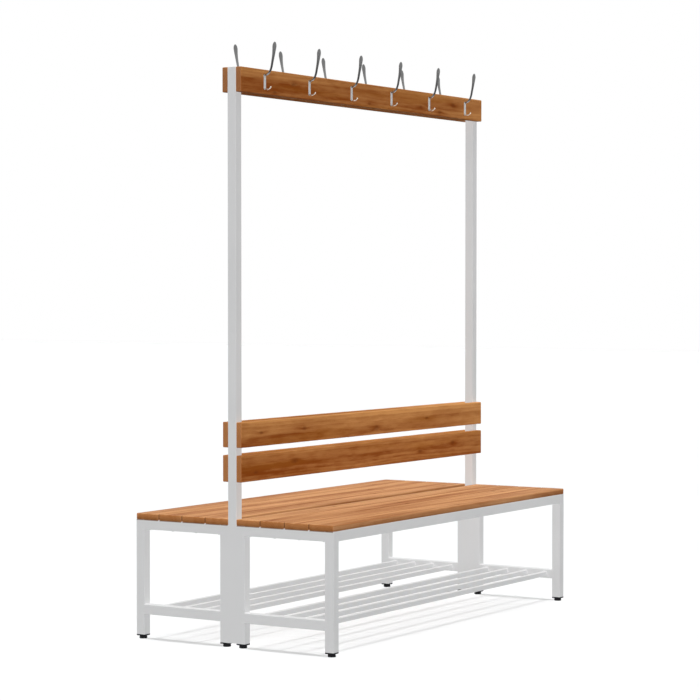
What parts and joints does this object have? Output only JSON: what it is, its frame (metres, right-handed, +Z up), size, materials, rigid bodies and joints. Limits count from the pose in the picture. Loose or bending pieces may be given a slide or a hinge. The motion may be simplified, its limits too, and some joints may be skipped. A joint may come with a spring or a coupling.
{
  "type": "cloakroom bench",
  "caption": "Double-sided cloakroom bench: square tube frame, slatted timber seats back to back, back boards, coat hooks on high boards and a tube shoe rack under each seat.",
  "frame": {"origin": "on the floor, under the middle of the bench, halfway between its two ends and its two sides", "axes": "+X along the bench towards the right end seen from the front, +Y towards the rear bench, +Z up"},
  "size_m": [1.5, 0.73, 1.8468],
  "materials": {
    "frame_coat": "light grey powder coat with a fine orange peel, semi matt",
    "timber": "clear varnished pine in a warm brown stain, grain along the boards",
    "hook_steel": "satin zinc plated steel",
    "foot_plastic": "black moulded plastic, fine spark texture",
    "cap_plastic": "light grey moulded plastic, matched to the frame",
    "zinc_plate": "bright zinc plated steel"
  },
  "bodies": {
    "bench": {"back_board_front_lower": "timber", "back_board_front_upper": "timber", "back_board_rear_lower": "timber", "back_board_rear_upper": "timber", "board_screws": "zinc_plate", "coat_hook_front_1": "hook_steel", "coat_hook_front_2": "hook_steel", "coat_hook_front_3": "hook_steel", "coat_hook_front_4": "hook_steel", "coat_hook_front_5": "hook_steel", "coat_hook_front_6": "hook_steel", "coat_hook_rear_1": "hook_steel", "coat_hook_rear_2": "hook_steel", "coat_hook_rear_3": "hook_steel", "coat_hook_rear_4": "hook_steel", "coat_hook_rear_5": "hook_steel", "coat_hook_rear_6": "hook_steel", "frame_bolts": "zinc_plate", "hook_board_front": "timber", "hook_board_rear": "timber", "hook_screws": "zinc_plate", "leg_front_inner_left": "frame_coat", "leg_front_inner_right": "frame_coat", "leg_front_outer_left": "frame_coat", "leg_front_outer_right": "frame_coat", "leg_inserts": "foot_plastic", "leg_rear_inner_left": "frame_coat", "leg_rear_inner_right": "frame_coat", "leg_rear_outer_left": "frame_coat", "leg_rear_outer_right": "frame_coat", "rack_rails_front": "frame_coat", "rack_rails_rear": "frame_coat", "rack_tubes_front": "frame_coat", "rack_tubes_rear": "frame_coat", "seat_bearers": "frame_coat", "seat_end_rails_front": "frame_coat", "seat_end_rails_rear": "frame_coat", "seat_screws": "zinc_plate", "seat_side_rails_front": "frame_coat", "seat_side_rails_rear": "frame_coat", "seat_slat_front_1": "timber", "seat_slat_front_2": "timber", "seat_slat_front_3": "timber", "seat_slat_front_4": "timber", "seat_slat_rear_1": "timber", "seat_slat_rear_2": "timber", "seat_slat_rear_3": "timber", "seat_slat_rear_4": "timber", "upright_caps": "cap_plastic", "upright_left": "frame_coat", "upright_right": "frame_coat", "weld_nuts": "zinc_plate"},
    "foot_front_inner_left": {"foot_front_inner_left": "foot_plastic"},
    "foot_front_inner_right": {"foot_front_inner_right": "foot_plastic"},
    "foot_front_outer_left": {"foot_front_outer_left": "foot_plastic"},
    "foot_front_outer_right": {"foot_front_outer_right": "foot_plastic"},
    "foot_rear_inner_left": {"foot_rear_inner_left": "foot_plastic"},
    "foot_rear_inner_right": {"foot_rear_inner_right": "foot_plastic"},
    "foot_rear_outer_left": {"foot_rear_outer_left": "foot_plastic"},
    "foot_rear_outer_right": {"foot_rear_outer_right": "foot_plastic"}
  },
  "joints": [
    {"name": "level_front_inner_left", "type": "slide", "parent": "bench", "child": "foot_front_inner_left", "axis": [0, 0, -1], "range_m": [0, 0.015]},
    {"name": "level_front_inner_right", "type": "slide", "parent": "bench", "child": "foot_front_inner_right", "axis": [0, 0, -1], "range_m": [0, 0.015]},
    {"name": "level_front_outer_left", "type": "slide", "parent": "bench", "child": "foot_front_outer_left", "axis": [0, 0, -1], "range_m": [0, 0.015]},
    {"name": "level_front_outer_right", "type": "slide", "parent": "bench", "child": "foot_front_outer_right", "axis": [0, 0, -1], "range_m": [0, 0.015]},
    {"name": "level_rear_inner_left", "type": "slide", "parent": "bench", "child": "foot_rear_inner_left", "axis": [0, 0, -1], "range_m": [0, 0.015]},
    {"name": "level_rear_inner_right", "type": "slide", "parent": "bench", "child": "foot_rear_inner_right", "axis": [0, 0, -1], "range_m": [0, 0.015]},
    {"name": "level_rear_outer_left", "type": "slide", "parent": "bench", "child": "foot_rear_outer_left", "axis": [0, 0, -1], "range_m": [0, 0.015]},
    {"name": "level_rear_outer_right", "type": "slide", "parent": "bench", "child": "foot_rear_outer_right", "axis": [0, 0, -1], "range_m": [0, 0.015]}
  ]
}
